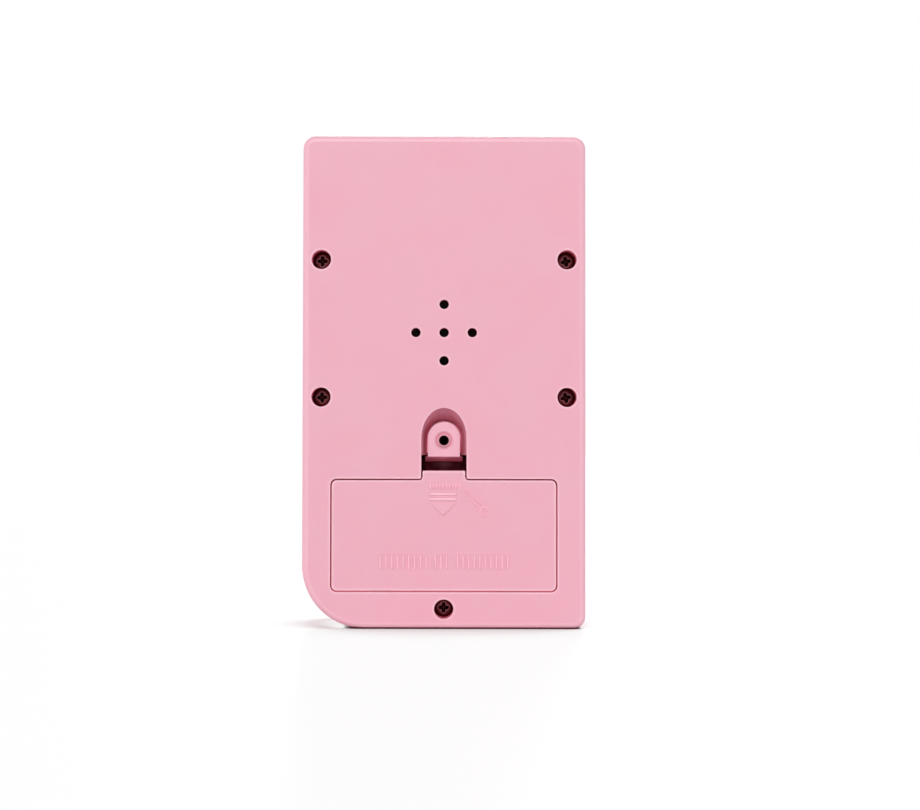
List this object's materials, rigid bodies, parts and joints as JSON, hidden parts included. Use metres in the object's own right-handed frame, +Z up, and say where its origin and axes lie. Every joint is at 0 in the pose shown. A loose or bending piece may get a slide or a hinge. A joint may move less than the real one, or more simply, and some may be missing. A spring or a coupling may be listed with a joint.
{
  "type": "handheld electronic game",
  "caption": "One-piece bar-shaped handheld electronic game with keys and screen in front and a hinged battery door with a screw tongue at the back.",
  "frame": {"origin": "middle of the bottom face it stands on, half way between the screen face and the battery face", "axes": "+Z up along the body's height, +Y out of the battery side, +X across the body towards the big rounded corner"},
  "size_m": [0.0784, 0.0285, 0.1365],
  "materials": {
    "shell_pink": "satin moulded pink",
    "screw_black": "blackened steel",
    "screw_zinc": "zinc plated",
    "lens_clear": "clear acrylic",
    "lcd_grey": "polarised panel",
    "frame_white": "moulded white",
    "zebra_pink": "layered strip",
    "board_green": "solder mask",
    "resin_black": "black resin",
    "can_blue": "sleeved can",
    "silicone_grey": "silicone",
    "key_cream": "satin cream",
    "basket_steel": "pressed steel",
    "cone_black": "pressed paper",
    "magnet_grey": "ferrite",
    "cell_jacket": "jacketed cell",
    "contact_nickel": "nickel plated",
    "wire_red": "insulated wire",
    "wire_black": "insulated wire"
  },
  "bodies": {
    "shell": {"rear_cover": "shell_pink", "front_cover": "shell_pink", "case_screws": "screw_black", "screen_lens": "lens_clear", "lcd_panel": "lcd_grey", "lcd_frame": "frame_white", "zebra_strips": "zebra_pink", "main_board": "board_green", "board_screws": "screw_zinc", "chip_blob": "resin_black", "capacitor": "can_blue", "key_mat": "silicone_grey", "speaker_frame": "basket_steel", "speaker_cone": "cone_black", "speaker_magnet": "magnet_grey", "battery_upper": "cell_jacket", "battery_lower": "cell_jacket", "contact_plates": "contact_nickel", "contact_springs": "contact_nickel", "bridge_contact": "contact_nickel", "battery_lead_red": "wire_red", "battery_lead_black": "wire_black", "speaker_leads": "wire_red"},
    "door": {"battery_door": "shell_pink"},
    "up_key": {"up_key": "key_cream"},
    "down_key": {"down_key": "key_cream"},
    "left_key": {"left_key": "key_cream"},
    "right_key": {"right_key": "key_cream"},
    "action_key_a": {"action_key_a": "key_cream"},
    "action_key_b": {"action_key_b": "key_cream"},
    "power_key": {"power_key": "key_cream"},
    "start_key": {"start_key": "key_cream"},
    "sound_key": {"sound_key": "key_cream"},
    "reset_key": {"reset_key": "key_cream"}
  },
  "joints": [
    {"name": "door_hinge", "type": "hinge", "parent": "shell", "child": "door", "pos_m": [0, 0.0135, 0.01037], "axis": [-1, 0, 0], "range_deg": [0, 60]},
    {"name": "up_key_press", "type": "slide", "parent": "shell", "child": "up_key", "axis": [0, 1, 0], "range_m": [0, 0.001], "stiffness_N_per_m": 500, "springref_m": -0.0004, "deforming": ["key_mat"]},
    {"name": "down_key_press", "type": "slide", "parent": "shell", "child": "down_key", "axis": [0, 1, 0], "range_m": [0, 0.001], "stiffness_N_per_m": 500, "springref_m": -0.0004, "deforming": ["key_mat"]},
    {"name": "left_key_press", "type": "slide", "parent": "shell", "child": "left_key", "axis": [0, 1, 0], "range_m": [0, 0.001], "stiffness_N_per_m": 500, "springref_m": -0.0004, "deforming": ["key_mat"]},
    {"name": "right_key_press", "type": "slide", "parent": "shell", "child": "right_key", "axis": [0, 1, 0], "range_m": [0, 0.001], "stiffness_N_per_m": 500, "springref_m": -0.0004, "deforming": ["key_mat"]},
    {"name": "action_key_a_press", "type": "slide", "parent": "shell", "child": "action_key_a", "axis": [0, 1, 0], "range_m": [0, 0.001], "stiffness_N_per_m": 500, "springref_m": -0.0004, "deforming": ["key_mat"]},
    {"name": "action_key_b_press", "type": "slide", "parent": "shell", "child": "action_key_b", "axis": [0, 1, 0], "range_m": [0, 0.001], "stiffness_N_per_m": 500, "springref_m": -0.0004, "deforming": ["key_mat"]},
    {"name": "power_key_press", "type": "slide", "parent": "shell", "child": "power_key", "axis": [0, 1, 0], "range_m": [0, 0.001], "stiffness_N_per_m": 500, "springref_m": -0.0004, "deforming": ["key_mat"]},
    {"name": "start_key_press", "type": "slide", "parent": "shell", "child": "start_key", "axis": [0, 1, 0], "range_m": [0, 0.001], "stiffness_N_per_m": 500, "springref_m": -0.0004, "deforming": ["key_mat"]},
    {"name": "sound_key_press", "type": "slide", "parent": "shell", "child": "sound_key", "axis": [0, 1, 0], "range_m": [0, 0.001], "stiffness_N_per_m": 500, "springref_m": -0.0004, "deforming": ["key_mat"]},
    {"name": "reset_key_press", "type": "slide", "parent": "shell", "child": "reset_key", "axis": [0, 1, 0], "range_m": [0, 0.001], "stiffness_N_per_m": 500, "springref_m": -0.0004, "deforming": ["key_mat"]}
  ]
}
